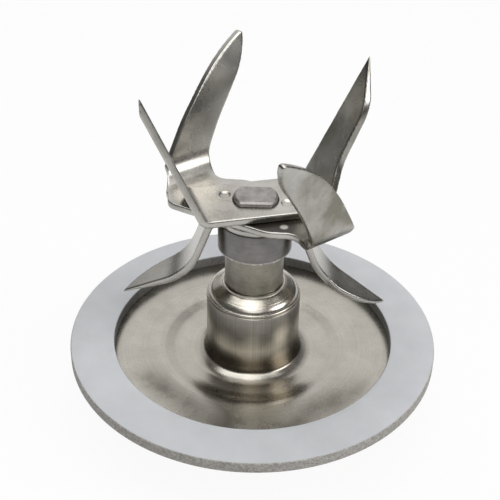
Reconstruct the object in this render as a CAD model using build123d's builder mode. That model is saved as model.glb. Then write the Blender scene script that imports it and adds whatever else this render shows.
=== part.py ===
import os
from math import atan, cos, degrees, radians, sin, tan

from build123d import *

# Blender blade assembly: three stacked stampings on a shaft that turns in a pressed pan.
# Millimetres, +Z up along the shaft, origin on the shaft axis in the gasket's top face.

# Sealing gasket
gasket_diameter = 65.0
gasket_width = 7.8
gasket_thickness = 2.05
gasket_chamfer = 0.2

# Base pan, pressed from sheet
pan_sheet = 0.8
flange_margin = 0.9
step_outer_radius = 16.1
step_inner_radius = 14.1
well_depth = 1.0
press_radius = 1.0
cup_radius = 8.2
cup_foot_radius = 1.9
cup_height = 12.45
cup_rim_chamfer = 0.2

# Bearing housing in the hub cup, with its stepped shoulder
housing_bottom_inset = 0.2
bead_inset = 0.2
bead_height = 0.55
bead_chamfer = 0.2
shoulder_groove = 0.35
ring_start = 0.75
ring_round = 0.8
line_groove = 0.12
cone_height = 1.05
lip_height = 0.3
lip_width = 0.35
neck_gap = 0.3
neck_gap_depth = 0.9

# Bushes
bush_radius = 5.05
neck_height = 6.5
upper_bush_depth = 5.0
lower_bush_length = 5.0
bush_chamfer = 0.3

# Shaft
shaft_diameter = 7.94
tang_width = 7.4
tang_across_flats = 5.4
tang_stand = 0.8
tang_chamfer = 0.3
groove_depth = 0.5
drive_across_flats = 6.35
drive_length = 6.0
drive_chamfer = 0.6

# Washers and retaining ring
seal_washer_thickness = 0.5
thrust_washer_radius = 6.6
thrust_washer_thickness = 0.8
ring_radius = 5.6
ring_thickness = 0.7
ring_opening = 3.0
drive_relief = 0.7

# Collar
collar_radius = 6.3
collar_height = 5.5
collar_chamfer = 0.3

# All the stampings
stamping_count = 3
blade_sheet = 1.25
bend_lead = 0.4
dimple_radius = 0.95
dimple_depth = 0.3
dimple_reach = 5.3
dimple_turn = 168.0

# Upper blade: two arms bent up
upper_turn = -70.5
upper_fold = 10.27
upper_tilt = 66.7
upper_bend_radius = 1.8
upper_root_near = 4.8
upper_root_far = 6.6
upper_root_height = 0.5
upper_arm_length = 24.8
upper_tip_near = 2.0
upper_shoulder_height = 17.6
upper_shoulder_round = 6.0
upper_waist_far = 3.6
upper_waist_height = 7.8
upper_waist_round = 8.0
upper_bevel_length = 2.2
upper_bevel_turn = 34.0
upper_bevel_land = 0.2

# Middle blade: two swept arms bent up, that lean out near the tip
middle_turn = 36.9
middle_fold = 16.0
middle_tilt = 84.5
middle_bend_radius = 4.4
middle_lean_tilt = 70.0
middle_lean_radius = 20.0
middle_lean_height = 13.6
middle_root_near = 10.0
middle_root_far = 0.2
middle_shin_near = 7.4
middle_shin_far = 1.2
middle_shin_height = 2.0
middle_heel_reach = 11.6
middle_heel_start = 9.0
middle_heel_round = 2.0
middle_waist_reach = 3.6
middle_waist_start = 7.5
middle_waist_round = 5.0
middle_neck_start = 10.4
middle_neck_round = 2.4
middle_arm_length = 22.45
middle_tip_reach = 11.3
middle_back_height = 7.6
middle_back_reach = 4.5
middle_front_height = 9.3
middle_front_reach = 4.45
middle_belly_height = 14.9
middle_belly_reach = 8.2
middle_tip_round = 0.5

# Lower blade: two arms that bend down, then flare out
lower_turn = -90.0
lower_fold = 7.4
lower_bend_radius = 1.3
lower_drop = 10.5
lower_drop_tilt = 70.0
lower_flare_tilt = 31.5
lower_flare_radius = 13.0
lower_tip_reach = 23.0
lower_tip_shift = 0.6
lower_near_width = 3.5
lower_near_start = 10.0
lower_far_width = 3.8
lower_far_start = 12.5
lower_belly_reach = 18.9
lower_belly_width = 3.7
lower_grind_length = 9.0
lower_tip_land = 0.35

# Fits
press_gap = 0.02
running_gap = 0.03
end_play = 0.05
tang_gap = 0.06
slip_gap = 0.1

right_angle = 90.0

# Heights and radii that follow from the sizes above
pan_top = -gasket_thickness
well_top = pan_top - well_depth
pan_bottom = well_top - pan_sheet
rim_top = well_top + cup_height
cone_bottom = rim_top + ring_start + ring_round
shoulder_top = cone_bottom + cone_height + lip_height
neck_top = shoulder_top + neck_height
collar_bottom = neck_top + seal_washer_thickness + end_play
stack_bottom = collar_bottom + collar_height
stack_top = stack_bottom + stamping_count * blade_sheet
housing_bottom = pan_bottom + housing_bottom_inset
felt_bottom = housing_bottom + lower_bush_length
felt_top = rim_top - upper_bush_depth
thrust_top = housing_bottom - end_play
ring_top = thrust_top - thrust_washer_thickness
drive_top = ring_top - ring_thickness - drive_relief
drive_bottom = drive_top - drive_length

shaft_radius = shaft_diameter / 2
groove_radius = shaft_radius - groove_depth
flange_radius = gasket_diameter / 2 - flange_margin
cup_bore = cup_radius - pan_sheet
housing_bore = bush_radius + press_gap
bead_radius = cup_radius - bead_inset
ring_outer = bead_radius - shoulder_groove - line_groove
ring_inner = ring_outer - ring_round
lip_radius = housing_bore + neck_gap + lip_width


def two_fold(points):
    """Half an outline's corners, followed by the same corners turned half a turn."""
    return points + [(-x, -y) for x, y in points]


def tang_section(gap):
    """The shaft's head: a circle with two flats, larger by the gap all round."""
    with BuildSketch() as section:
        Circle(tang_width / 2 + gap)
        Rectangle(tang_width + 2 * gap, tang_across_flats + 2 * gap, mode=Mode.INTERSECT)
    return section.sketch


def stamping_plane(layer, turn):
    """The middle of one sheet in the stack, its X axis along the arms' folds."""
    height = stack_bottom + (layer + 0.5) * blade_sheet
    return Plane((0, 0, height)).rotated((0, 0, turn))


def side_plane(plane):
    """The plane that a stamping's bent section is drawn on, across its folds."""
    return Plane(plane.origin, x_dir=plane.y_dir, z_dir=plane.x_dir)


def bend_start(fold, tilt, bend_radius):
    """Where the flat web ends and the bend begins."""
    return fold - bend_radius * tan(radians(tilt) / 2)


def climb(start, tilt, length):
    """The point a length further on from another, up a slope."""
    return (start[0] + length * cos(radians(tilt)), start[1] + length * sin(radians(tilt)))


def arm_plane(plane, fold, tilt):
    """The middle of an arm's sheet above its bend, its Y axis up the arm."""
    return Plane(plane * Location((0, fold, 0), (tilt, 0, 0)))


def root_section(start, near, far, shin_start, shin_near, shin_far, end):
    """An arm's root seen from above, from the square end of the web to past the bend."""
    with BuildSketch() as section:
        with BuildLine():
            Polyline(
                (-near, start - bend_lead),
                (-near, start),
                (-shin_near, shin_start),
                (-shin_near, end),
                (shin_far, end),
                (shin_far, shin_start),
                (far, start),
                (far, start - bend_lead),
                close=True,
            )
        make_face()
    return section.sketch


def bent_arm(plane, path, radii, tilt, root, outline):
    """One arm of a stamping: a bent strip, cut to its root's outline and then to its blade's."""
    fold, end = path[1][0], path[-1]
    blade_plane = arm_plane(plane, fold, tilt)
    foot = outline.vertices().sort_by(Axis.Y)[0].Y * sin(radians(tilt))
    with BuildPart() as blank:
        with BuildSketch(plane.offset(-blade_sheet)):
            add(root)
        extrude(amount=blade_sheet + foot + bend_lead)
        with BuildSketch(blade_plane):
            add(outline)
        extrude(amount=end[1] / 2, both=True)
    with BuildPart() as arm:
        with BuildSketch(side_plane(plane)):
            with BuildLine():
                FilletPolyline(*path, radius=radii)
            trace(line_width=blade_sheet)
        extrude(amount=end[1], both=True)
        add(blank.part, mode=Mode.INTERSECT)
    return arm.part


# Sealing gasket
with BuildPart() as sealing_gasket:
    with BuildSketch(Plane.XY.offset(pan_top)):
        Circle(gasket_diameter / 2)
        Circle(gasket_diameter / 2 - gasket_width, mode=Mode.SUBTRACT)
    extrude(amount=gasket_thickness)
    chamfer(sealing_gasket.edges().group_by(Axis.Z)[-1], length=gasket_chamfer)
sealing_gasket.part.label = "sealing_gasket"

# Base pan: flange, shallow well and drawn hub cup in one section
with BuildPart() as base_pan:
    with BuildSketch(Plane.XZ):
        with BuildLine():
            FilletPolyline(
                (flange_radius, pan_top),
                (step_outer_radius, pan_top),
                (step_inner_radius, well_top),
                (cup_radius, well_top),
                (cup_radius, rim_top),
                radius=[press_radius, press_radius, cup_foot_radius],
            )
            offset(amount=pan_sheet, side=Side.LEFT)
        make_face()
    revolve(axis=Axis.Z)
    rim_edges = base_pan.edges().filter_by(GeomType.CIRCLE).group_by(Axis.Z)[-1]
    chamfer(rim_edges.sort_by(SortBy.RADIUS)[-1], length=cup_rim_chamfer)
base_pan.part.label = "base_pan"

# Bearing housing: turned sleeve with bead, groove, rounded ring, cone and lip
with BuildPart() as bearing_housing:
    with BuildSketch(Plane.XZ):
        with BuildLine():
            Polyline(
                (housing_bore, housing_bottom),
                (cup_bore - press_gap, housing_bottom),
                (cup_bore - press_gap, rim_top),
                (bead_radius, rim_top),
                (bead_radius, rim_top + bead_height),
                (bead_radius - shoulder_groove, rim_top + bead_height),
                (bead_radius - shoulder_groove, rim_top + ring_start),
                (ring_outer, rim_top + ring_start),
            )
            RadiusArc((ring_outer, rim_top + ring_start), (ring_inner, cone_bottom), -ring_round)
            Polyline(
                (ring_inner, cone_bottom),
                (ring_inner, cone_bottom - line_groove),
                (ring_inner - line_groove, cone_bottom - line_groove),
                (lip_radius, cone_bottom + cone_height),
                (lip_radius, shoulder_top),
                (housing_bore + neck_gap, shoulder_top),
                (housing_bore + neck_gap, shoulder_top - neck_gap_depth),
                (housing_bore, shoulder_top - neck_gap_depth),
                (housing_bore, housing_bottom),
            )
        make_face()
    revolve(axis=Axis.Z)
    bead_edges = bearing_housing.edges().filter_by(GeomType.CIRCLE).sort_by(SortBy.RADIUS)[-2:]
    chamfer(bead_edges.sort_by(Axis.Z)[-1], length=bead_chamfer)
bearing_housing.part.label = "bearing_housing"

# Plain bearings, with the felt that oils them between
with BuildPart() as upper_bush:
    with BuildSketch(Plane.XY.offset(felt_top)):
        Circle(bush_radius)
        Circle(shaft_radius + running_gap, mode=Mode.SUBTRACT)
    extrude(amount=neck_top - felt_top)
    neck_edges = upper_bush.edges().group_by(Axis.Z)[-1]
    chamfer(neck_edges.sort_by(SortBy.RADIUS)[-1], length=bush_chamfer)
upper_bush.part.label = "upper_bush"

with BuildPart() as oil_felt:
    with BuildSketch(Plane.XY.offset(felt_bottom)):
        Circle(bush_radius)
        Circle(shaft_radius + slip_gap, mode=Mode.SUBTRACT)
    extrude(amount=felt_top - felt_bottom)
oil_felt.part.label = "oil_felt"

with BuildPart() as lower_bush:
    with BuildSketch(Plane.XY.offset(housing_bottom)):
        Circle(bush_radius)
        Circle(shaft_radius + running_gap, mode=Mode.SUBTRACT)
    extrude(amount=lower_bush_length)
    foot_edges = lower_bush.edges().group_by(Axis.Z)[0]
    chamfer(foot_edges.sort_by(SortBy.RADIUS)[-1], length=bush_chamfer)
lower_bush.part.label = "lower_bush"

# Washers at the two ends of the bearing
with BuildPart() as seal_washer:
    with BuildSketch(Plane.XY.offset(neck_top)):
        Circle(bush_radius)
        Circle(shaft_radius + slip_gap, mode=Mode.SUBTRACT)
    extrude(amount=seal_washer_thickness)
seal_washer.part.label = "seal_washer"

with BuildPart() as thrust_washer:
    with BuildSketch(Plane.XY.offset(ring_top)):
        Circle(thrust_washer_radius)
        Circle(shaft_radius + slip_gap, mode=Mode.SUBTRACT)
    extrude(amount=thrust_washer_thickness)
thrust_washer.part.label = "thrust_washer"

# Retaining ring, open at one side, in the shaft's groove
with BuildPart() as retaining_ring:
    with BuildSketch(Plane.XY.offset(ring_top)):
        Circle(ring_radius)
        Circle(groove_radius + press_gap, mode=Mode.SUBTRACT)
        with Locations((0, -ring_radius / 2)):
            Rectangle(ring_opening, ring_radius, mode=Mode.SUBTRACT)
    extrude(amount=-ring_thickness)
retaining_ring.part.label = "retaining_ring"

# Drive shaft: tang with two flats, round journal, ring groove and square end
with BuildPart() as drive_shaft:
    with BuildSketch(Plane.XY.offset(drive_bottom)):
        Circle(shaft_radius)
    extrude(amount=stack_bottom - drive_bottom)
    with BuildSketch(Plane.XY.offset(stack_bottom)):
        add(tang_section(0))
    extrude(amount=stack_top + tang_stand - stack_bottom)
    chamfer(drive_shaft.edges().group_by(Axis.Z)[-1], length=tang_chamfer)
    with BuildSketch(Plane.XY.offset(drive_bottom)):
        Circle(shaft_radius)
        Rectangle(drive_across_flats, drive_across_flats, mode=Mode.SUBTRACT)
    extrude(amount=drive_length, mode=Mode.SUBTRACT)
    chamfer(drive_shaft.edges().group_by(Axis.Z)[0], length=drive_chamfer)
    with BuildSketch(Plane.XY.offset(ring_top + press_gap)):
        Circle(shaft_radius)
        Circle(groove_radius, mode=Mode.SUBTRACT)
    extrude(amount=-ring_thickness - 2 * press_gap, mode=Mode.SUBTRACT)
drive_shaft.part.label = "drive_shaft"

# Collar under the blades
with BuildPart() as collar:
    with BuildSketch(Plane.XY.offset(collar_bottom)):
        Circle(collar_radius)
        Circle(shaft_radius + press_gap, mode=Mode.SUBTRACT)
    extrude(amount=collar_height)
    collar_edges = collar.edges().group_by(Axis.Z)[0]
    chamfer(collar_edges.sort_by(SortBy.RADIUS)[-1], length=collar_chamfer)
collar.part.label = "collar"

# Lower blade: one bent strip, cut to its outline seen from above
lower_plane = stamping_plane(0, lower_turn)
lower_knee = (lower_fold + lower_drop / tan(radians(lower_drop_tilt)), -lower_drop)
lower_flare = lower_tip_reach - lower_knee[0]
lower_tip = (lower_tip_reach, -lower_drop - lower_flare * tan(radians(lower_flare_tilt)))
lower_path = [lower_tip, lower_knee, (lower_fold, 0)]
lower_under = -right_angle - lower_flare_tilt
lower_grind = [
    climb(climb(lower_tip, -lower_flare_tilt, -lower_grind_length), lower_under, blade_sheet / 2),
    climb(lower_tip, lower_under, lower_tip_land - blade_sheet / 2),
    climb(lower_tip, lower_under, blade_sheet),
]

with BuildPart() as lower_blade:
    with BuildSketch(side_plane(lower_plane)):
        with BuildLine():
            FilletPolyline(
                *[(-reach, height) for reach, height in lower_path],
                *reversed(lower_path),
                radius=[lower_flare_radius, lower_bend_radius, lower_bend_radius, lower_flare_radius],
            )
        trace(line_width=blade_sheet)
        for side in (1, -1):
            with BuildLine():
                Polyline(*[(side * reach, height) for reach, height in lower_grind], close=True)
            make_face(mode=Mode.SUBTRACT)
    extrude(amount=lower_tip_reach, both=True)
    with BuildSketch(lower_plane):
        with BuildLine():
            for side in (1, -1):
                ThreePointArc(
                    (side * lower_tip_shift, side * lower_tip_reach),
                    (side * lower_belly_width, side * lower_belly_reach),
                    (side * lower_far_width, side * lower_far_start),
                )
                Polyline(
                    (side * lower_far_width, side * lower_far_start),
                    (side * lower_near_width, -side * lower_near_start),
                    (-side * lower_tip_shift, -side * lower_tip_reach),
                )
        make_face()
        Circle(collar_radius)
    extrude(amount=lower_tip_reach, both=True, mode=Mode.INTERSECT)
    with BuildSketch(Plane.XY.offset(stack_bottom)):
        add(tang_section(tang_gap))
    extrude(amount=blade_sheet, mode=Mode.SUBTRACT)
lower_blade.part.label = "lower_blade"

# Middle blade: its arm's outline, one long curved back and an edge that rounds to the tip
middle_plane = stamping_plane(1, middle_turn)
middle_start = bend_start(middle_fold, middle_tilt, middle_bend_radius)
middle_knee = climb((middle_fold, 0), middle_tilt, middle_lean_height)
middle_root = root_section(
    middle_start,
    middle_root_near,
    middle_root_far,
    middle_fold - blade_sheet / 2,
    middle_shin_near,
    middle_shin_far,
    middle_fold + blade_sheet,
)
shin_top = middle_shin_height + bend_lead

with BuildSketch() as middle_outline:
    with BuildLine():
        back = Line((-middle_shin_near, shin_top), (-middle_back_reach, middle_back_height))
        crown = TangentArc(back @ 1, (middle_tip_reach, middle_arm_length), tangent=back % 1)
        front = ThreePointArc(
            (middle_shin_far, shin_top),
            (middle_front_reach, middle_front_height),
            (middle_belly_reach, middle_belly_height),
        )
        TangentArc(front @ 1, crown @ 1, tangent=front % 1)
        Polyline(
            back @ 0,
            (-middle_shin_near, middle_shin_height),
            (middle_shin_far, middle_shin_height),
            front @ 0,
        )
    make_face()
    fillet(middle_outline.vertices().sort_by(Axis.Y)[-1], radius=middle_tip_round)

middle_arm = bent_arm(
    middle_plane,
    [
        (middle_start - bend_lead, 0),
        (middle_fold, 0),
        middle_knee,
        climb(middle_knee, middle_lean_tilt, middle_arm_length),
    ],
    [middle_bend_radius, middle_lean_radius],
    middle_tilt,
    middle_root,
    middle_outline.sketch,
)

with BuildPart() as middle_blade:
    with BuildSketch(middle_plane.offset(-blade_sheet / 2)):
        with BuildLine():
            FilletPolyline(
                *two_fold(
                    [
                        (middle_root_far, middle_start),
                        (-middle_root_near, middle_start),
                        (-middle_root_near, middle_start - bend_lead),
                        (-middle_heel_reach, middle_heel_start),
                        (-middle_waist_reach, -middle_waist_start),
                        (-middle_root_far, -middle_neck_start),
                    ]
                ),
                radius=2 * [0, 0, 0, middle_heel_round, middle_waist_round, middle_neck_round],
                close=True,
            )
        make_face()
    extrude(amount=blade_sheet)
    with PolarLocations(0, 2):
        add(middle_arm)
    with BuildSketch(Plane.XY.offset(stack_bottom + blade_sheet)):
        add(tang_section(tang_gap))
    extrude(amount=blade_sheet, mode=Mode.SUBTRACT)
middle_blade.part.label = "middle_blade"

# Upper blade: its arm narrows to a waist and ends in a slanted tip, ground from outside
upper_plane = stamping_plane(2, upper_turn)
upper_start = bend_start(upper_fold, upper_tilt, upper_bend_radius)
upper_tip = (-upper_tip_near, upper_arm_length)
upper_root = root_section(
    upper_start,
    upper_root_near,
    upper_root_far,
    upper_fold,
    upper_root_near,
    upper_root_far,
    upper_fold + blade_sheet,
)

with BuildSketch() as upper_outline:
    with BuildLine():
        FilletPolyline(
            (-upper_root_near, upper_root_height),
            (-upper_root_near, upper_root_height + bend_lead),
            upper_tip,
            (upper_waist_far, upper_shoulder_height),
            (upper_waist_far, upper_waist_height),
            (upper_root_far, upper_root_height + bend_lead),
            (upper_root_far, upper_root_height),
            radius=[0, 0, 0, upper_shoulder_round, upper_waist_round, 0, 0],
            close=True,
        )
    make_face()

upper_arm = bent_arm(
    upper_plane,
    [
        (upper_start - bend_lead, 0),
        (upper_fold, 0),
        climb((upper_fold, 0), upper_tilt, upper_arm_length),
    ],
    [upper_bend_radius],
    upper_tilt,
    upper_root,
    upper_outline.sketch,
)
bevel_slope = degrees(atan((blade_sheet - upper_bevel_land) / upper_bevel_length))
bevel_edge = Location((*upper_tip, blade_sheet / 2 - upper_bevel_land), (0, 0, -upper_bevel_turn))
bevel_tip = bevel_edge * Location((0, 0, 0), (bevel_slope, 0, 0))
bevel_plane = Plane(arm_plane(upper_plane, upper_fold, upper_tilt) * bevel_tip)

with BuildPart() as ground_arm:
    add(upper_arm)
    split(bisect_by=bevel_plane, keep=Keep.TOP)

with BuildPart() as upper_blade:
    with BuildSketch(upper_plane.offset(-blade_sheet / 2)):
        with BuildLine():
            Polyline(
                *two_fold(
                    [
                        (-upper_root_near, upper_start - bend_lead),
                        (-upper_root_near, upper_start),
                        (upper_root_far, upper_start),
                        (upper_root_far, upper_start - bend_lead),
                    ]
                ),
                close=True,
            )
        make_face()
    extrude(amount=blade_sheet)
    with PolarLocations(0, 2):
        add(ground_arm.part)
    with BuildSketch(Plane.XY.offset(stack_top)):
        add(tang_section(tang_gap))
    extrude(amount=-blade_sheet, mode=Mode.SUBTRACT)
    with BuildSketch(Plane.XY.offset(stack_top)):
        with PolarLocations(dimple_reach, 2, start_angle=dimple_turn):
            Circle(dimple_radius)
    extrude(amount=-dimple_depth, mode=Mode.SUBTRACT)
upper_blade.part.label = "upper_blade"

# One file for each piece
os.makedirs("parts", exist_ok=True)
for piece in (
    sealing_gasket,
    base_pan,
    bearing_housing,
    upper_bush,
    oil_felt,
    lower_bush,
    seal_washer,
    thrust_washer,
    retaining_ring,
    drive_shaft,
    collar,
    lower_blade,
    middle_blade,
    upper_blade,
):
    export_step(piece.part, f"parts/{piece.part.label}.step")
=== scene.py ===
import math

import bmesh
import bpy
from mathutils import Matrix, Vector


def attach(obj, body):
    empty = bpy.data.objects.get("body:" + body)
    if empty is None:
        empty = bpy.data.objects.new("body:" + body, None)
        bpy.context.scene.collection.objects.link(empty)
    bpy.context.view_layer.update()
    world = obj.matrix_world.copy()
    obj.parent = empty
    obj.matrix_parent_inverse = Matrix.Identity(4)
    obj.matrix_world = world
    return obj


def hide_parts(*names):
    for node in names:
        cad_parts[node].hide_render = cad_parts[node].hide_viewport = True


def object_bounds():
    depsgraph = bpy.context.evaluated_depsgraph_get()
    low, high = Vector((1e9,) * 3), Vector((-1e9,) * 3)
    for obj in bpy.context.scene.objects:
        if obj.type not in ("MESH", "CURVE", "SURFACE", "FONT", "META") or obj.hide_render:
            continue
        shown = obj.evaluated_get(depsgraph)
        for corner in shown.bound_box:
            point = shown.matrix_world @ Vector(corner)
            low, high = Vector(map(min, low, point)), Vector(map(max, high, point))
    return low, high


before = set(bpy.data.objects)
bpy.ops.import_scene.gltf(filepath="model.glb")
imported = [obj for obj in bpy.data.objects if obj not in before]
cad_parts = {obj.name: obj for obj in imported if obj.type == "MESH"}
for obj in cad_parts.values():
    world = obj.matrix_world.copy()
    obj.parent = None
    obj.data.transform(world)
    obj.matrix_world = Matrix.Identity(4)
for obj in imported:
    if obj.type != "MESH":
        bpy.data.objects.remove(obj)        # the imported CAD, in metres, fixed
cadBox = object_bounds()
scene = bpy.context.scene
scene.view_settings.view_transform = "Standard"
mm = 0.001
print("frame loaded:", ", ".join(sorted(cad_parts)))


# helpers

def hexToLinear(code):
    # the sRGB curve, with an alpha of one
    parts = [int(code[i:i + 2], 16) / 255 for i in (1, 3, 5)]
    return [p / 12.92 if p <= 0.04045 else ((p + 0.055) / 1.055) ** 2.4 for p in parts] + [1.0]


def perMm(size):
    return 1 / (size * mm)        # pattern repeats per metre, for a feature of this many mm


def addNode(tree, kind, inputs=None, **settings):
    node = tree.nodes.new(kind)
    for name, value in settings.items():
        setattr(node, name, value)
    for name, value in (inputs or {}).items():
        if isinstance(value, bpy.types.NodeSocket):
            tree.links.new(value, node.inputs[name])
        else:
            node.inputs[name].default_value = value
    return node


def newMaterial(name):
    material = bpy.data.materials.new(name)
    material.use_nodes = True
    material.node_tree.nodes.clear()
    return material, material.node_tree


def dress(piece, *materials):
    piece.data.materials.clear()
    for material in materials:
        piece.data.materials.append(material)


def pickVertices(piece, test):
    bm = bmesh.from_edit_mesh(piece.data)
    bm.select_mode = {"VERT"}
    for vertex in bm.verts:
        vertex.select = bool(test(vertex.co))
    bm.select_flush_mode()
    bmesh.update_edit_mesh(piece.data)


def startPiece(name):
    bpy.ops.object.select_all(action="DESELECT")
    bpy.ops.mesh.primitive_plane_add(size=mm)
    piece = bpy.context.object
    piece.name = piece.data.name = name
    return piece


def turnPiece(name, corners, steps, smoothAngle=32):
    # a closed half section, drawn corner by corner, rounded, then spun about the shaft
    piece = startPiece(name)
    bpy.ops.object.mode_set(mode="EDIT")
    bpy.ops.mesh.select_all(action="SELECT")
    bpy.ops.mesh.merge(type="CENTER")
    bpy.ops.mesh.select_all(action="SELECT")
    lastR, lastZ = corners[0][:2]
    bpy.ops.transform.translate(value=(lastR * mm, 0, lastZ * mm))
    for r, z, _ in corners[1:]:
        step = ((r - lastR) * mm, 0, (z - lastZ) * mm)
        bpy.ops.mesh.extrude_region_move(TRANSFORM_OT_translate={"value": step})
        lastR, lastZ = r, z
    ends = [corners[0], corners[-1]]
    near = 0.001 * mm        # corners closer than this are the same
    pickVertices(piece, lambda co: any(
        abs(co.x - e[0] * mm) < near and abs(co.z - e[1] * mm) < near for e in ends))
    bpy.ops.mesh.edge_face_add()
    for r, z, cut in corners:
        if cut:
            pickVertices(piece, lambda co: abs(co.x - r * mm) < near and abs(co.z - z * mm) < near)
            segments = max(2, min(10, round(cut * 14)))        # about 14 for each mm
            bpy.ops.mesh.bevel(offset=cut * mm, segments=segments, affect="VERTICES")
    bpy.ops.mesh.select_all(action="SELECT")
    bpy.ops.mesh.spin(steps=steps, angle=2 * math.pi, center=(0, 0, 0), axis=(0, 0, 1))
    bpy.ops.mesh.select_all(action="SELECT")
    bpy.ops.mesh.remove_doubles(threshold=near)
    bpy.ops.mesh.normals_make_consistent(inside=False)
    bpy.ops.object.mode_set(mode="OBJECT")
    bpy.ops.object.shade_smooth_by_angle(angle=math.radians(smoothAngle))
    return piece


skin = {"weld": 0.002, "flat": 0.4}        # mm between doubles, degrees within a flat face


def mergedCopy(name, node):
    # a node's loose triangles, merged into one skin with its flat faces whole
    bpy.ops.object.select_all(action="DESELECT")
    piece = bpy.data.objects.new(name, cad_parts[node].data.copy())
    piece.data.name = name
    scene.collection.objects.link(piece)
    bpy.context.view_layer.objects.active = piece
    piece.select_set(True)
    bpy.ops.object.mode_set(mode="EDIT")
    bpy.ops.mesh.select_all(action="SELECT")
    bpy.ops.mesh.remove_doubles(threshold=skin["weld"] * mm)
    bpy.ops.mesh.customdata_custom_splitnormals_clear()
    bpy.ops.mesh.dissolve_limited(angle_limit=math.radians(skin["flat"]))
    bpy.ops.object.mode_set(mode="OBJECT")
    return piece


def applyModifier(piece, kind, **settings):
    bpy.ops.object.select_all(action="DESELECT")
    bpy.context.view_layer.objects.active = piece
    piece.select_set(True)
    modifier = piece.modifiers.new(kind.lower(), kind)
    for name, value in settings.items():
        setattr(modifier, name, value)
    bpy.ops.object.modifier_apply(modifier=modifier.name)


def tumble(piece, strip):
    # strip comes out of the tumbler with every corner rounded: an even skin, then smoothed
    applyModifier(
        piece, "REMESH", mode="VOXEL", voxel_size=strip["cell"] * mm, adaptivity=0.0)
    applyModifier(piece, "SMOOTH", factor=strip["pull"], iterations=strip["passes"])
    applyModifier(piece, "DECIMATE", ratio=strip["share"])
    bpy.ops.object.shade_smooth()


def breakEdges(piece, corner):
    # a narrow round on every sharp corner of a milled or stamped piece
    applyModifier(
        piece, "BEVEL", width=corner["edge"] * mm, segments=corner["segments"],
        limit_method="ANGLE", angle_limit=math.radians(corner["angle"]), use_clamp_overlap=True)
    bpy.ops.object.shade_smooth_by_angle(angle=math.radians(corner["smooth"]))
    applyModifier(piece, "WEIGHTED_NORMAL", keep_sharp=True)


def paintWhere(piece, slotIndex, test):
    # gives the faces that pass a test on their centre and normal another of the piece's materials
    for face in piece.data.polygons:
        if test(face.center, face.normal):
            face.material_index = slotIndex


def standFor(piece, node, body):
    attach(piece, body)
    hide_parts(node)
    print("piece:", piece.name, len(piece.data.polygons), "faces, rides on", body)


# materials

# the part of a noise's range that each pattern is spread over
spans = {
    "gloss": {"From Min": 0.3, "From Max": 0.7},
    "blotch": {"From Min": 0.32, "From Max": 0.68},
    "speck": {"From Min": 0.62, "From Max": 0.76},
    "patch": {"From Min": 0.4, "From Max": 0.6},
    "grain": {"From Min": 0.36, "From Max": 0.64}}
scratches = {"stretch": (0.14, 1.0, 1.0), "level": 0.52, "width": 0.006}


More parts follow.
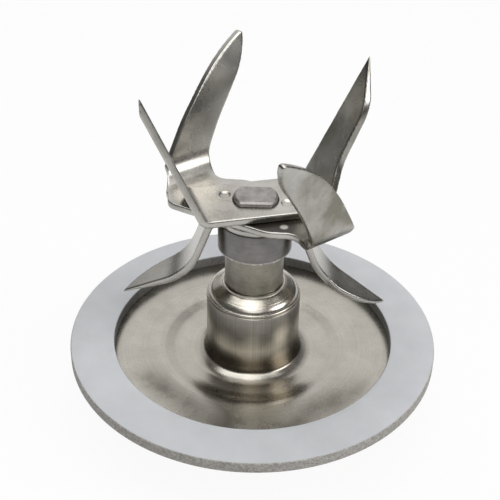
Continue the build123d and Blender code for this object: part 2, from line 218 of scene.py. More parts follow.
# Pattern sizes are in mm. Tool rings, drawn lines, scratches, pores and rubber grain are
# finer on the real part, and are drawn as coarse as they need to be to show.
def wornSteel(finish):
    material, tree = newMaterial(finish["name"])
    place = addNode(tree, "ShaderNodeTexCoord").outputs["Object"]
    flat = addNode(tree, "ShaderNodeSeparateXYZ", {"Vector": place})
    across = addNode(tree, "ShaderNodeCombineXYZ", {
        "X": flat.outputs["X"], "Y": flat.outputs["Y"]})
    radius = addNode(tree, "ShaderNodeVectorMath", {0: across.outputs[0]}, operation="LENGTH")
    blotch = addNode(tree, "ShaderNodeTexNoise", {
        "Vector": place, "Scale": perMm(finish["blotch"]), "Detail": 4.0, "Roughness": 0.6})
    speck = addNode(tree, "ShaderNodeTexNoise", {
        "Vector": place, "Scale": perMm(finish["speck"]), "Detail": 3.0, "Roughness": 0.55})
    blotchy = addNode(tree, "ShaderNodeMapRange", {
        "Value": blotch.outputs[0], **spans["blotch"]})
    speckle = addNode(tree, "ShaderNodeMapRange", {
        "Value": speck.outputs[0], **spans["speck"], "To Max": finish["speckAmount"]})
    body = addNode(tree, "ShaderNodeMix", {
        0: blotchy.outputs[0], 6: hexToLinear(finish["dark"]),
        7: hexToLinear(finish["light"])}, data_type="RGBA")
    stained = addNode(tree, "ShaderNodeMix", {
        0: speckle.outputs[0], 6: body.outputs[2],
        7: hexToLinear(finish["speckTone"])}, data_type="RGBA")
    gloss = addNode(tree, "ShaderNodeMapRange", {
        "Value": blotch.outputs[0], **spans["gloss"],
        "To Min": finish["smooth"], "To Max": finish["rough"]})
    # fine scratches: thin contour lines of a stretched noise
    stretch = addNode(tree, "ShaderNodeMapping", {
        "Vector": place, "Rotation": finish["scratchTurn"], "Scale": scratches["stretch"]})
    contour = addNode(tree, "ShaderNodeTexNoise", {
        "Vector": stretch.outputs[0], "Scale": perMm(finish["scratch"]), "Detail": 2.0})
    band = addNode(tree, "ShaderNodeMath", {
        0: contour.outputs[0], 1: scratches["level"], 2: scratches["width"]},
        operation="COMPARE")
    scratchHeight = addNode(tree, "ShaderNodeMath", {
        0: band.outputs[0], 1: -finish["scratchDepth"] * mm}, operation="MULTIPLY")
    height = addNode(tree, "ShaderNodeMath", {
        0: blotch.outputs[0], 1: finish["wave"] * mm, 2: scratchHeight.outputs[0]},
        operation="MULTIPLY_ADD")
    tone = stained
    if "paintedShade" in finish:
        # painted shade on a level face, in front of a line across it where the blade above shades
        # it, kept off one dimple
        paintedShade = finish["paintedShade"]
        offset = addNode(tree, "ShaderNodeVectorMath", {
            0: place, 1: [v * mm for v in paintedShade["line"]]}, operation="SUBTRACT")
        ahead = addNode(tree, "ShaderNodeVectorMath", {
            0: offset.outputs[0], 1: paintedShade["normal"]}, operation="DOT_PRODUCT")
        beyond = addNode(tree, "ShaderNodeMapRange", {
            "Value": ahead.outputs["Value"], "From Min": paintedShade["fade"][0] * mm,
            "From Max": paintedShade["fade"][1] * mm})
        above = addNode(tree, "ShaderNodeMapRange", {
            "Value": flat.outputs["Z"], "From Min": (paintedShade["level"] + paintedShade["under"][0]) * mm,
            "From Max": (paintedShade["level"] + paintedShade["under"][1]) * mm})
        below = addNode(tree, "ShaderNodeMapRange", {
            "Value": flat.outputs["Z"], "From Min": (paintedShade["level"] + paintedShade["over"][0]) * mm,
            "From Max": (paintedShade["level"] + paintedShade["over"][1]) * mm})
        away = addNode(tree, "ShaderNodeVectorMath", {
            0: place, 1: [v * mm for v in paintedShade["clear"]]}, operation="DISTANCE")
        outside = addNode(tree, "ShaderNodeMapRange", {
            "Value": away.outputs["Value"], "From Min": paintedShade["bare"][0] * mm,
            "From Max": paintedShade["bare"][1] * mm, "To Max": paintedShade["amount"]})
        mask = outside
        for share in (beyond, above, below):
            mask = addNode(tree, "ShaderNodeMath", {
                0: mask.outputs[0], 1: share.outputs[0]}, operation="MULTIPLY")
        tone = addNode(tree, "ShaderNodeMix", {
            0: mask.outputs[0], 6: stained.outputs[2],
            7: hexToLinear(paintedShade["tone"])}, data_type="RGBA")
    if "darkArmReflection" in finish:
        # painted dark reflection on one arm, laid on in cloudy patches, darker than the rest of its
        # blade
        darkArmReflection = finish["darkArmReflection"]
        onArm = addNode(tree, "ShaderNodeMapRange", {
            "Value": flat.outputs["X"], "From Min": darkArmReflection["from"] * mm,
            "From Max": darkArmReflection["to"] * mm})
        patch = addNode(tree, "ShaderNodeTexNoise", {
            "Vector": place, "Scale": perMm(darkArmReflection["size"]), "Detail": 3.0, "Roughness": 0.5})
        patchy = addNode(tree, "ShaderNodeMapRange", {
            "Value": patch.outputs[0], **spans["patch"],
            "To Min": darkArmReflection["least"], "To Max": darkArmReflection["most"]})
        darkReflectionMask = addNode(tree, "ShaderNodeMath", {
            0: onArm.outputs[0], 1: patchy.outputs[0]}, operation="MULTIPLY")
        tone = addNode(tree, "ShaderNodeMix", {
            0: darkReflectionMask.outputs[0], 6: tone.outputs[2],
            7: hexToLinear(darkArmReflection["tone"])}, data_type="RGBA")
    if "ring" in finish:
        # rings from the tool: noise along the radius and the height only
        run = addNode(tree, "ShaderNodeMath", {
            0: radius.outputs["Value"], 1: flat.outputs["Z"]}, operation="ADD")
        along = addNode(tree, "ShaderNodeMath", {
            0: run.outputs[0], 1: perMm(finish["ring"])}, operation="MULTIPLY")
        rings = addNode(tree, "ShaderNodeTexNoise", {
            "W": along.outputs[0], "Scale": 1.0, "Detail": 2.0}, noise_dimensions="1D")
        height = addNode(tree, "ShaderNodeMath", {
            0: rings.outputs[0], 1: finish["ringDepth"] * mm, 2: height.outputs[0]},
            operation="MULTIPLY_ADD")
        ringTone = addNode(tree, "ShaderNodeMapRange", {
            "Value": rings.outputs[0], **spans["gloss"],
            "To Min": 1 - finish["ringTone"], "To Max": 1.0})
        tone = addNode(tree, "ShaderNodeMix", {
            0: 1.0, 6: tone.outputs[2], 7: ringTone.outputs[0]},
            data_type="RGBA", blend_type="MULTIPLY")
    if "draw" in finish:
        # upright lines where the press drew the wall: noise along the turn only, above the foot
        turn = addNode(tree, "ShaderNodeMath", {
            0: flat.outputs["Y"], 1: flat.outputs["X"]}, operation="ARCTAN2")
        around = addNode(tree, "ShaderNodeMath", {
            0: turn.outputs[0], 1: finish["wallRadius"] / finish["draw"]}, operation="MULTIPLY")
        upright = addNode(tree, "ShaderNodeTexNoise", {
            "W": around.outputs[0], "Scale": 1.0, "Detail": 3.0}, noise_dimensions="1D")
        onWall = addNode(tree, "ShaderNodeMapRange", {
            "Value": flat.outputs["Z"], "From Min": finish["wallFoot"] * mm,
            "From Max": (finish["wallFoot"] + finish["wallRise"]) * mm})
        lift = addNode(tree, "ShaderNodeMath", {
            0: upright.outputs[0], 1: onWall.outputs[0]}, operation="MULTIPLY")
        height = addNode(tree, "ShaderNodeMath", {
            0: lift.outputs[0], 1: finish["drawDepth"] * mm, 2: height.outputs[0]},
            operation="MULTIPLY_ADD")
        drawTone = addNode(tree, "ShaderNodeMapRange", {
            "Value": upright.outputs[0], **spans["gloss"],
            "To Min": finish["drawTone"][0], "To Max": finish["drawTone"][1]})
        gloss = addNode(tree, "ShaderNodeMath", {
            0: onWall.outputs[0], 1: finish["wallDull"], 2: gloss.outputs[0]},
            operation="MULTIPLY_ADD")
        tone = addNode(tree, "ShaderNodeMix", {
            0: onWall.outputs[0], 6: tone.outputs[2], 7: drawTone.outputs[0]},
            data_type="RGBA", blend_type="MULTIPLY")
        # brown low on the wall, stronger towards its foot, and only there
        nearWall = addNode(tree, "ShaderNodeMapRange", {
            "Value": radius.outputs["Value"],
            "From Min": (finish["wallRadius"] + finish["brownOut"][0]) * mm,
            "From Max": (finish["wallRadius"] + finish["brownOut"][1]) * mm})
        underTop = addNode(tree, "ShaderNodeMapRange", {
            "Value": flat.outputs["Z"], "From Min": finish["brownTo"] * mm,
            "From Max": (finish["brownTo"] - finish["brownFade"]) * mm,
            "To Min": finish["brownLeast"], "To Max": finish["brownMost"]})
        browned = addNode(tree, "ShaderNodeMath", {
            0: nearWall.outputs[0], 1: underTop.outputs[0]}, operation="MULTIPLY")
        tone = addNode(tree, "ShaderNodeMix", {
            0: browned.outputs[0], 6: tone.outputs[2],
            7: hexToLinear(finish["brown"])}, data_type="RGBA")
    relief = addNode(tree, "ShaderNodeBump", {
        "Height": height.outputs[0], "Distance": 1.0, "Strength": 1.0})
    steel = addNode(tree, "ShaderNodeBsdfPrincipled", {
        "Base Color": tone.outputs[2], "Metallic": 1.0,
        "Roughness": gloss.outputs[0], "Normal": relief.outputs[0]})
    addNode(tree, "ShaderNodeOutputMaterial", {"Surface": steel.outputs[0]})
    return material


# stainless strip, blanked, bent and tumbled: soft reflections, grey clouds, brown specks and
# few scratches
bladeFinish = {
    "name": "stainlessBladeTumbled", "light": "#BFBCB6", "dark": "#A6A39D",
    "blotch": 5.0, "speck": 1.6, "speckTone": "#9A9184", "speckAmount": 0.3,
    "scratch": 1.6, "scratchDepth": 0.0004, "scratchTurn": (0.4, 0.3, 0.9),
    "wave": 0.003, "smooth": 0.24, "rough": 0.3}
bladeFace = wornSteel(bladeFinish)
# the same strip, with painted shade where the blade above shades it, and painted dark reflection in
# cloudy patches on its right arm
bladeShaded = wornSteel(dict(bladeFinish, name="stainlessBladeShaded", paintedShade={
    "line": (-6.6, -7.4, 0), "normal": (0.235, -0.972, 0), "fade": (-1.2, -0.6),
    "level": 27.35, "under": (-0.08, -0.02), "over": (0.5, 0.15),
    "clear": (4.64, -6.5, 27.5), "bare": (0.5, 0.8), "tone": "#403D3A", "amount": 0.96}, darkArmReflection={
    "from": 5.5, "to": 7.5, "size": 4.5, "least": 0.1, "most": 0.85, "tone": "#807D70"}))
# the same strip, with painted dark reflection in cloudy patches on the right arm
bladeDarkArm = wornSteel(dict(bladeFinish, name="stainlessBladeDarkArm", darkArmReflection={
    "from": 5.0, "to": 8.0, "size": 6.0, "least": 0.1, "most": 0.75, "tone": "#7F7C70"}))
# stainless sheet, deep drawn and wheel polished: cloudy, faint rings on the flats, upright
# lines and a brown tint on the wall
panSteel = wornSteel({
    "name": "stainlessDrawnPolished", "light": "#BDB9B0", "dark": "#ADA9A0",
    "blotch": 4.5, "speck": 0.9, "speckTone": "#9A9182", "speckAmount": 0.2,
    "scratch": 2.2, "scratchDepth": 0.0006, "scratchTurn": (0.0, 0.0, 0.7),
    "wave": 0.003, "smooth": 0.22, "rough": 0.31, "ring": 0.5, "ringDepth": 0.0005,
    "ringTone": 0.05, "draw": 0.35, "drawDepth": 0.0025, "wallRadius": 8.2, "wallFoot": -1.6,
    "drawTone": (0.96, 1.2), "wallRise": 2.5, "wallDull": 0.06, "brown": "#5A4F3C",
    "brownTo": 2.4, "brownFade": 2.6, "brownOut": (0.55, 0.4),
    "brownLeast": 0.15, "brownMost": 0.8})
# free cutting steel, turned bright: a few fine rings in the highlights
housingSteel = wornSteel({
    "name": "steelTurnedBright", "light": "#CBC6BC", "dark": "#B4AEA3",
    "blotch": 2.6, "speck": 0.5, "speckTone": "#938A7B", "speckAmount": 0.3,
    "scratch": 1.2, "scratchDepth": 0.0004, "scratchTurn": (0.0, 0.0, 0.2),
    "wave": 0.003, "smooth": 0.2, "rough": 0.3,
    "ring": 0.4, "ringDepth": 0.0006, "ringTone": 0.06})
# the same steel, turned satin: duller, with fine level rings
collarSteel = wornSteel({
    "name": "steelTurnedSatin", "light": "#928F8D", "dark": "#7C7977",
    "blotch": 2.2, "speck": 0.45, "speckTone": "#78726A", "speckAmount": 0.4,
    "scratch": 1.0, "scratchDepth": 0.0005, "scratchTurn": (0.0, 0.0, 0.1),
    "wave": 0.003, "smooth": 0.3, "rough": 0.42,
    "ring": 0.3, "ringDepth": 0.0008, "ringTone": 0.12})
# the collar's lower edge: a painted highlight where its chamfer catches the light, a broken pale
# line
collarHighlight = wornSteel({
    "name": "steelEdgeHighlight", "light": "#F0EDE8", "dark": "#9A9690",
    "blotch": 0.8, "speck": 0.3, "speckTone": "#8E887F", "speckAmount": 0.6,
    "scratch": 0.7, "scratchDepth": 0.0005, "scratchTurn": (0.0, 0.0, 0.1),
    "wave": 0.02, "smooth": 0.5, "rough": 0.65})
# sintered iron bush: dull, with open pores and fine level rings
bushIron = wornSteel({
    "name": "ironSintered", "light": "#ABA79B", "dark": "#928E82",
    "blotch": 1.8, "speck": 0.35, "speckTone": "#665F53", "speckAmount": 0.55,
    "scratch": 0.8, "scratchDepth": 0.0004, "scratchTurn": (0.0, 0.0, 0.1),
    "wave": 0.003, "smooth": 0.34, "rough": 0.46,
    "ring": 0.28, "ringDepth": 0.0008, "ringTone": 0.12})
# carbon steel shaft, sawn and milled at the head: dull grey, mottled
shaftSteel = wornSteel({
    "name": "steelMilledDull", "light": "#AAA6A4", "dark": "#868280",
    "blotch": 1.3, "speck": 0.4, "speckTone": "#A7A29E", "speckAmount": 0.5,
    "scratch": 0.7, "scratchDepth": 0.0015, "scratchTurn": (0.0, 0.0, 1.1),
    "wave": 0.006, "smooth": 0.34, "rough": 0.48})
# the head's flanks: painted shade and dark reflection, near black
shaftFlankShade = wornSteel({
    "name": "steelFlankShade", "light": "#4B4846", "dark": "#2F2D2C",
    "blotch": 1.0, "speck": 0.35, "speckTone": "#6B645C", "speckAmount": 0.4,
    "scratch": 0.7, "scratchDepth": 0.0008, "scratchTurn": (0.0, 0.0, 1.1),
    "wave": 0.004, "smooth": 0.3, "rough": 0.45})
# spring steel ring, oil blackened: dark, half gloss
ringSteel = wornSteel({
    "name": "springSteelBlackened", "light": "#4A4745", "dark": "#302E2D",
    "blotch": 1.4, "speck": 0.3, "speckTone": "#6A5C4E", "speckAmount": 0.4,
    "scratch": 0.7, "scratchDepth": 0.0006, "scratchTurn": (0.0, 0.0, 0.4),
    "wave": 0.003, "smooth": 0.3, "rough": 0.48})


def matteStuff(finish):
    material, tree = newMaterial(finish["name"])
    place = addNode(tree, "ShaderNodeTexCoord").outputs["Object"]
    cloud = addNode(tree, "ShaderNodeTexNoise", {
        "Vector": place, "Scale": perMm(finish["cloud"]), "Detail": 4.0, "Roughness": 0.6})
    grain = addNode(tree, "ShaderNodeTexNoise", {
        "Vector": place, "Scale": perMm(finish["grain"]), "Detail": 3.0, "Roughness": 0.7})
    cloudy = addNode(tree, "ShaderNodeMapRange", {
        "Value": cloud.outputs[0], **spans["gloss"]})
    body = addNode(tree, "ShaderNodeMix", {
        0: cloudy.outputs[0], 6: hexToLinear(finish["dark"]),
        7: hexToLinear(finish["light"])}, data_type="RGBA")
    for wall in finish.get("walls", []):
        # a die cut wall between two radii: grainy, in tones darker than the moulded skin; on the
        # inner wall these tones hold painted shade as well as dirt
        flat = addNode(tree, "ShaderNodeVectorMath", {0: place, 1: (1, 1, 0)}, operation="MULTIPLY")
        radius = addNode(tree, "ShaderNodeVectorMath", {0: flat.outputs[0]}, operation="LENGTH")
        inWall = addNode(tree, "ShaderNodeMapRange", {
            "Value": radius.outputs["Value"], "From Min": wall["from"] * mm,
            "From Max": wall["to"] * mm})
        grainy = addNode(tree, "ShaderNodeMapRange", {
            "Value": grain.outputs[0], **spans["grain"]})
        cutTone = addNode(tree, "ShaderNodeMix", {
            0: grainy.outputs[0], 6: hexToLinear(wall["dark"]),
            7: hexToLinear(wall["light"])}, data_type="RGBA")
        body = addNode(tree, "ShaderNodeMix", {
            0: inWall.outputs[0], 6: body.outputs[2], 7: cutTone.outputs[2]}, data_type="RGBA")
    gloss = addNode(tree, "ShaderNodeMapRange", {
        "Value": grain.outputs[0], **spans["gloss"],
        "To Min": finish["smooth"], "To Max": finish["rough"]})
    height = addNode(tree, "ShaderNodeMath", {
        0: grain.outputs[0], 1: finish["grainDepth"] * mm}, operation="MULTIPLY")
    relief = addNode(tree, "ShaderNodeBump", {
        "Height": height.outputs[0], "Distance": 1.0, "Strength": 1.0})
    surface = addNode(tree, "ShaderNodeBsdfPrincipled", {
        "Base Color": body.outputs[2], "Roughness": gloss.outputs[0],
        "IOR": finish["ior"], "Normal": relief.outputs[0]})
    addNode(tree, "ShaderNodeOutputMaterial", {"Surface": surface.outputs[0]})
    return material


# moulded rubber sheet, die cut: matte blue grey skin, grainy brown grey where it is cut, and the
# inner wall darker still with dirt and painted shade
gasketRubber = matteStuff({
    "name": "rubberMouldedGrey", "light": "#BEC0C3", "dark": "#B5B7BA", "cloud": 6.0,
    "grain": 0.4, "grainDepth": 0.008, "smooth": 0.62, "rough": 0.8, "ior": 1.52,
    "walls": [{"from": 32.3, "to": 32.42, "dark": "#87827C", "light": "#BCB9B4"},
              # the inner wall: dirt and painted shade
              {"from": 24.86, "to": 24.76, "dark": "#5F5D5B", "light": "#7C7A78"}]})
# pressed wool felt, soaked in oil: dark and fuzzy
oilFelt = matteStuff({
    "name": "feltOiled", "light": "#6B6152", "dark": "#4B4338", "cloud": 1.2,
    "grain": 0.2, "grainDepth": 0.06, "smooth": 0.85, "rough": 0.95, "ior": 1.5})
# machined nylon washers: smooth, slightly waxy
washerNylon = matteStuff({
    "name": "nylonMachined", "light": "#3A3A3A", "dark": "#2B2B2B", "cloud": 1.5,
    "grain": 0.25, "grainDepth": 0.004, "smooth": 0.4, "rough": 0.55, "ior": 1.53})
print("materials made:", len(bpy.data.materials))

# sealing gasket: flat ring with softly rounded skin edges

gasket = {"outer": 32.5, "inner": 24.7, "top": 0.0, "bottom": -2.05, "edge": 0.28,
          "under": 0.1, "steps": 256}
ring = turnPiece("gasketRing", [
    (gasket["inner"], gasket["bottom"], gasket["under"]),
    (gasket["outer"], gasket["bottom"], gasket["under"]),
    (gasket["outer"], gasket["top"], gasket["edge"]),
    (gasket["inner"], gasket["top"], gasket["edge"])], gasket["steps"])
dress(ring, gasketRubber)
standFor(ring, "sealing_gasket", "base")

# pressed pan: flange, soft step, well and drawn cup in one sheet

pan = {"flange": 31.6, "stepOuter": 16.3, "stepInner": 13.5, "cup": 8.2, "bore": 7.4,
       "top": -2.05, "well": -3.05, "rim": 9.4, "sheet": 0.8, "stepCut": 0.9,
       "flare": 10.15, "flareTop": -2.32, "flareIn": 8.6, "wallEnd": -1.1,
       "flareCut": 0.7, "corner": 0.3, "wallCut": 0.4, "foot": 1.2, "edge": 0.2,
       "boreCut": 0.1, "stepShift": 0.1, "steps": 240}
panShell = turnPiece("panShell", [
    (pan["flange"], pan["top"], pan["edge"]),
    (pan["stepOuter"], pan["top"], pan["stepCut"]),
    (pan["stepInner"], pan["well"], pan["stepCut"]),
    (pan["flare"], pan["well"], pan["flareCut"]),
    (pan["flareIn"], pan["flareTop"], pan["corner"]),
    (pan["cup"], pan["wallEnd"], pan["wallCut"]),
    (pan["cup"], pan["rim"], pan["edge"]),
    (pan["bore"], pan["rim"], pan["boreCut"]),
    (pan["bore"], pan["well"] - pan["sheet"], pan["foot"] + pan["sheet"]),
    (pan["stepInner"] + pan["stepShift"], pan["well"] - pan["sheet"], pan["stepCut"]),
    (pan["stepOuter"] + pan["stepShift"], pan["top"] - pan["sheet"], pan["stepCut"]),
    (pan["flange"], pan["top"] - pan["sheet"], pan["edge"])], pan["steps"])
dress(panShell, panSteel)
standFor(panShell, "base_pan", "base")

# bearing housing: bead, soft dome with two fine lines, and lip round the neck

housing = {"bore": 5.07, "outer": 7.38, "bottom": -3.65, "rim": 9.4, "bead": 8.0,
           "beadTop": 9.86, "line": 0.05, "lip": 5.5, "top": 12.18, "lipFoot": 11.86,
           "gap": 0.05, "gapBottom": 12.06, "steps": 160, "boreCut": 0.1, "footCut": 0.2,
           "rimCut": 0.06, "beadCut": 0.2, "lineCut": (0.05, 0.03), "domeCut": 0.12,
           "lipFootCut": 0.06, "lipCut": 0.14,
           "dome": [(7.7, 10.02), (7.52, 10.4), (7.26, 10.7), (6.92, 10.95)],
           "cone": [(6.78, 11.05), (6.44, 11.28), (6.08, 11.53), (5.72, 11.77)]}
profile = [
    (housing["bore"], housing["bottom"], housing["boreCut"]),
    (housing["outer"], housing["bottom"], housing["footCut"]),
    (housing["outer"], housing["rim"], 0),
    (housing["bead"], housing["rim"], housing["rimCut"]),
    (housing["bead"], housing["beadTop"], housing["beadCut"])]
domeFoot, coneFoot = housing["dome"][0], housing["cone"][0]
profile += [(domeFoot[0], domeFoot[1] - housing["line"], housing["lineCut"][0])]
profile += [(r, z, housing["domeCut"]) for r, z in housing["dome"]]
profile += [(coneFoot[0] + housing["line"], coneFoot[1] - housing["line"], housing["lineCut"][1])]
profile += [(r, z, housing["domeCut"]) for r, z in housing["cone"]]
profile += [
    (housing["lip"], housing["lipFoot"], housing["lipFootCut"]),
    (housing["lip"], housing["top"], housing["lipCut"]),
    (housing["bore"] + housing["gap"], housing["top"], housing["boreCut"]),
    (housing["bore"] + housing["gap"], housing["gapBottom"], 0),
    (housing["bore"], housing["gapBottom"], 0)]
housingSleeve = turnPiece("housingSleeve", profile, housing["steps"])
dress(housingSleeve, housingSteel)
standFor(housingSleeve, "bearing_housing", "base")

# bush, washers and collar on the shaft

neck = {"outer": 5.05, "bore": 4.0, "bottom": 4.4, "top": 18.8, "edge": 0.3, "cut": 0.1,
        "steps": 128}
neckBush = turnPiece("neckBush", [
    (neck["bore"], neck["bottom"], neck["cut"]), (neck["outer"], neck["bottom"], neck["cut"]),
    (neck["outer"], neck["top"], neck["edge"]), (neck["bore"], neck["top"], neck["cut"])],
    neck["steps"])
dress(neckBush, bushIron)
standFor(neckBush, "upper_bush", "base")

seal = {"outer": 5.05, "bore": 4.07, "bottom": 18.8, "top": 19.3, "edge": 0.1, "cut": 0.05,
        "steps": 128}
sealRing = turnPiece("sealRing", [
    (seal["bore"], seal["bottom"], seal["cut"]), (seal["outer"], seal["bottom"], seal["edge"]),
    (seal["outer"], seal["top"], seal["edge"]), (seal["bore"], seal["top"], seal["cut"])],
    seal["steps"])
dress(sealRing, washerNylon)
standFor(sealRing, "seal_washer", "base")

thrust = {"outer": 6.6, "bore": 4.07, "bottom": -4.5, "top": -3.7, "edge": 0.12, "cut": 0.08,
          "steps": 128}
thrustRing = turnPiece("thrustRing", [
    (thrust["bore"], thrust["bottom"], thrust["cut"]),
    (thrust["outer"], thrust["bottom"], thrust["edge"]),
    (thrust["outer"], thrust["top"], thrust["edge"]),
    (thrust["bore"], thrust["top"], thrust["cut"])], thrust["steps"])
dress(thrustRing, washerNylon)
standFor(thrustRing, "thrust_washer", "rotor")

sleeve = {"outer": 6.3, "bore": 3.99, "bottom": 19.35, "top": 24.85, "edge": 0.1,
          "highlightBand": 0.38, "topEdge": 0.15, "cut": 0.1, "steps": 144}
highlightTop = sleeve["bottom"] + sleeve["highlightBand"]
collarSleeve = turnPiece("collarSleeve", [
    (sleeve["bore"], sleeve["bottom"], sleeve["cut"]),
    (sleeve["outer"], sleeve["bottom"], sleeve["edge"]),
    (sleeve["outer"], highlightTop, 0),
    (sleeve["outer"], sleeve["top"], sleeve["topEdge"]),
    (sleeve["bore"], sleeve["top"], sleeve["cut"])], sleeve["steps"])
dress(collarSleeve, collarSteel, collarHighlight)
# the lowest band of faces takes the painted highlight
paintWhere(collarSleeve, 1, lambda centre, normal: centre.z < highlightTop * mm)
standFor(collarSleeve, "collar", "rotor")

# blades: the CAD stampings, with rounded edges

stampings = {"cell": 0.12, "pull": 0.5, "passes": 24, "share": 0.5,
             "dimple": (4.64, -6.5, 27.35), "core": 0.22, "reach": 0.75, "rise": 0.3}
finishes = {"lower_blade": bladeFace, "middle_blade": bladeShaded, "upper_blade": bladeDarkArm}
for node, finish in finishes.items():
    blade = mergedCopy(node.replace("_b", "B") + "Plate", node)
    tumble(blade, stampings)
    if node == "middle_blade":
        # a locating dimple, pushed up out of the web
        bpy.ops.object.mode_set(mode="EDIT")
        pickVertices(blade, lambda co: all(
            abs(v - d * mm) < stampings["core"] * mm for v, d in zip(co, stampings["dimple"])))
        bpy.ops.transform.translate(
            value=(0, 0, stampings["rise"] * mm), use_proportional_edit=True,
            proportional_edit_falloff="SMOOTH", proportional_size=stampings["reach"] * mm)
        bpy.ops.object.mode_set(mode="OBJECT")
    dress(blade, finish)
    standFor(blade, node, "rotor")

# shaft and clip

shaft = {"edge": 0.14, "segments": 3, "angle": 34, "smooth": 40, "flank": 28.4, "level": 0.5}
shaftRod = mergedCopy("shaftRod", "drive_shaft")
dress(shaftRod, shaftSteel, shaftFlankShade)
breakEdges(shaftRod, shaft)
# the head's flanks take the painted shade
paintWhere(shaftRod, 1, lambda centre, normal: (
    centre.z > shaft["flank"] * mm and normal.z < shaft["level"]))
standFor(shaftRod, "drive_shaft", "rotor")

clip = {"edge": 0.1, "segments": 3, "angle": 34, "smooth": 40}
clipRing = mergedCopy("clipRing", "retaining_ring")
dress(clipRing, ringSteel)
breakEdges(clipRing, clip)
standFor(clipRing, "retaining_ring", "rotor")

# CAD nodes that stay, inside the bearing
dress(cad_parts["oil_felt"], oilFelt)
dress(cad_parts["lower_bush"], bushIron)

# floor, light and camera

stand = {"size": 9.0, "sides": 96, "rim": 0.3, "tone": "#DADADA", "farTone": "#5E5E5E",
         "farFrom": 0.25, "farTo": 0.7, "white": 0.93, "halfWide": 0.0505, "spread": 0.181,
         "fade": 0.03}
bpy.ops.object.select_all(action="DESELECT")
bpy.ops.mesh.primitive_circle_add(
    radius=stand["size"] / 2, vertices=stand["sides"], fill_type="NGON",
    location=(0, 0, cadBox[0].z))
floor = bpy.context.object
floor.name = "studioFloor"
bpy.ops.object.transform_apply(location=True)
# a low backdrop all round, so that level views end in white too
bpy.ops.object.mode_set(mode="EDIT")
bpy.ops.mesh.select_all(action="SELECT")
bpy.ops.mesh.extrude_edges_move(TRANSFORM_OT_translate={"value": (0, 0, stand["rim"])})
bpy.ops.object.mode_set(mode="OBJECT")
floorPaint, tree = newMaterial("paperPale")
spot = addNode(tree, "ShaderNodeTexCoord").outputs["Object"]
# metal sees the white as far as the photo shows it, wider further back
ground = addNode(tree, "ShaderNodeSeparateXYZ", {"Vector": spot})
side = addNode(tree, "ShaderNodeMath", {0: ground.outputs["X"]}, operation="ABSOLUTE")
reach = addNode(tree, "ShaderNodeMath", {
    0: ground.outputs["Y"], 1: -stand["spread"], 2: side.outputs[0]}, operation="MULTIPLY_ADD")
path = addNode(tree, "ShaderNodeLightPath")
mirrored = addNode(tree, "ShaderNodeMath", {
    0: path.outputs["Is Glossy Ray"], 1: path.outputs["Is Transmission Ray"]}, operation="MAXIMUM")
fade = addNode(tree, "ShaderNodeMapRange", {
    "Value": reach.outputs[0], "From Min": stand["halfWide"],
    "From Max": stand["halfWide"] + stand["fade"], "To Min": stand["white"], "To Max": 0.0},
    interpolation_type="SMOOTHSTEP")
inMetal = addNode(tree, "ShaderNodeMath", {
    0: mirrored.outputs[0], 1: fade.outputs[0]}, operation="MULTIPLY")
direct = addNode(tree, "ShaderNodeMath", {
    0: path.outputs["Is Camera Ray"], 1: stand["white"]}, operation="MULTIPLY")
share = addNode(tree, "ShaderNodeMath", {
    0: direct.outputs[0], 1: inMetal.outputs[0]}, operation="MAXIMUM")
# the paper greys with distance, as it leaves the light
away = addNode(tree, "ShaderNodeVectorMath", {0: spot}, operation="LENGTH")
greyed = addNode(tree, "ShaderNodeMapRange", {
    "Value": away.outputs["Value"], "From Min": stand["farFrom"], "From Max": stand["farTo"]},
    interpolation_type="SMOOTHSTEP")
paperTone = addNode(tree, "ShaderNodeMix", {
    0: greyed.outputs[0], 6: hexToLinear(stand["tone"]),
    7: hexToLinear(stand["farTone"])}, data_type="RGBA")
paper = addNode(tree, "ShaderNodeBsdfDiffuse", {"Color": paperTone.outputs[2]})
glow = addNode(tree, "ShaderNodeEmission", {"Strength": 1.0})
both = addNode(tree, "ShaderNodeMixShader", {
    0: share.outputs[0], 1: paper.outputs[0], 2: glow.outputs[0]})
addNode(tree, "ShaderNodeOutputMaterial", {"Surface": both.outputs[0]})
dress(floor, floorPaint)

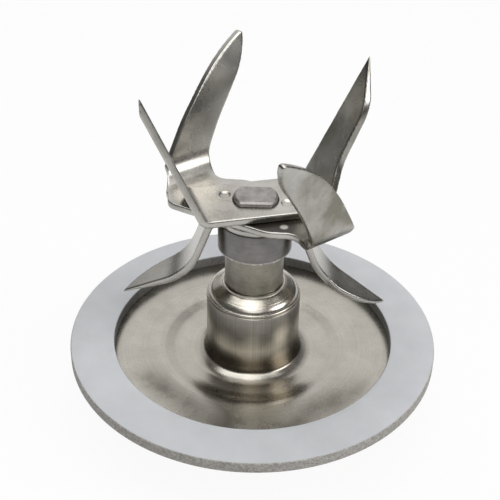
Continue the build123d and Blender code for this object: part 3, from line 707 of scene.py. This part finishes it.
# room: dim low down, with a wide white card behind, one in front and a bright one on the right
studio = {"low": 0.07, "high": 0.18, "lowAt": -0.2, "highAt": 0.8, "cards": [
    {"way": (-0.10, 0.86, 0.50), "core": 16, "edge": 48, "tone": 1.12},
    {"way": (0.0, -0.73, 0.68), "core": 10, "edge": 24, "tone": 2.2},
    {"way": (0.79, -0.26, 0.555), "core": 11, "edge": 20, "tone": 6.5}]}
world = scene.world or bpy.data.worlds.new("studioRoom")
scene.world = world
world.use_nodes = True
tree = world.node_tree
tree.nodes.clear()
look = addNode(tree, "ShaderNodeTexCoord").outputs["Generated"]
way = addNode(tree, "ShaderNodeSeparateXYZ", {"Vector": look})
tone = addNode(tree, "ShaderNodeMapRange", {
    "Value": way.outputs["Z"], "From Min": studio["lowAt"], "From Max": studio["highAt"],
    "To Min": studio["low"], "To Max": studio["high"]})
for card in studio["cards"]:
    near = addNode(tree, "ShaderNodeVectorMath", {0: look, 1: card["way"]}, operation="DOT_PRODUCT")
    lit = addNode(tree, "ShaderNodeMapRange", {
        "Value": near.outputs["Value"], "From Min": math.cos(math.radians(card["edge"])),
        "From Max": math.cos(math.radians(card["core"])), "To Max": card["tone"]},
        interpolation_type="SMOOTHSTEP")
    tone = addNode(tree, "ShaderNodeMath", {
        0: tone.outputs[0], 1: lit.outputs[0]}, operation="ADD")
room = addNode(tree, "ShaderNodeBackground", {"Strength": tone.outputs[0]})
addNode(tree, "ShaderNodeOutputWorld", {"Surface": room.outputs[0]})

# one wide softbox overhead
softbox = {"place": (-0.012, -0.02, 0.31), "aim": (0, -0.012, 0.02), "size": 0.3, "power": 0.68}
lamp = bpy.data.objects.new("softboxTop", bpy.data.lights.new("softboxTop", "AREA"))
scene.collection.objects.link(lamp)
lamp.data.size = softbox["size"]
lamp.data.energy = softbox["power"]
lamp.location = softbox["place"]
downwards = Vector(softbox["aim"]) - Vector(softbox["place"])
lamp.rotation_euler = downwards.to_track_quat("-Z", "Y").to_euler()

# the photo's camera: place in mm, angles in degrees
view = {"place": (-0.78, -159.33, 129.02), "down": 34.83, "roll": 1.24, "lens": 81.72,
        "sensor": 36, "near": 0.01}
camera = bpy.data.objects.new("photoCamera", bpy.data.cameras.new("photoCamera"))
scene.collection.objects.link(camera)
camera.data.lens = view["lens"]
camera.data.sensor_width = view["sensor"]
camera.data.clip_start = view["near"]
camera.matrix_world = (
    Matrix.Translation([v * mm for v in view["place"]])
    @ Matrix.Rotation(math.radians(90 - view["down"]), 4, "X")
    @ Matrix.Rotation(math.radians(view["roll"]), 4, "Z"))
scene.camera = camera
print("stage set")
